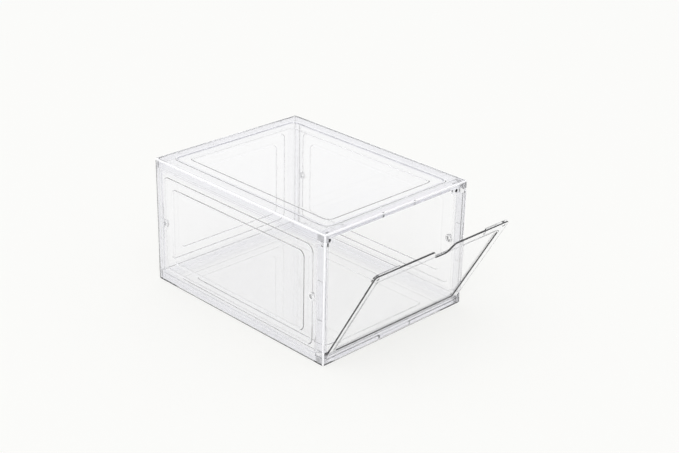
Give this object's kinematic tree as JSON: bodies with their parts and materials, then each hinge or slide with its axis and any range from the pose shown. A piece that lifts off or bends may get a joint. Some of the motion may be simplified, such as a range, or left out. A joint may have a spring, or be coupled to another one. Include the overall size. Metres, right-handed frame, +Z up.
{
  "type": "shoe box",
  "caption": "Clear stackable storage box for shoes: snap-together pressed panels, a front frame and a drop-front door that hinges just above the sill and shuts on magnets.",
  "frame": {"origin": "centre of the base's resting face, under the middle of the case", "axes": "+Z up, +Y to the back, -Y out of the drop-front door, +X to the right as seen from the front"},
  "size_m": [0.27, 0.4308, 0.19],
  "materials": {
    "clear_plastic": "clear, polished",
    "magnet": "black coated"
  },
  "bodies": {
    "case": {"top_panel": "clear_plastic", "base_panel": "clear_plastic", "left_side_panel": "clear_plastic", "right_side_panel": "clear_plastic", "back_panel": "clear_plastic", "front_frame": "clear_plastic", "frame_magnet_left": "magnet", "frame_magnet_right": "magnet"},
    "door": {"door": "clear_plastic", "door_magnet_left": "magnet", "door_magnet_right": "magnet"}
  },
  "joints": [
    {"name": "door_hinge", "type": "hinge", "parent": "case", "child": "door", "pos_m": [0, -0.1694, 0.01175], "axis": [1, 0, 0], "range_deg": [-30, 60]}
  ]
}
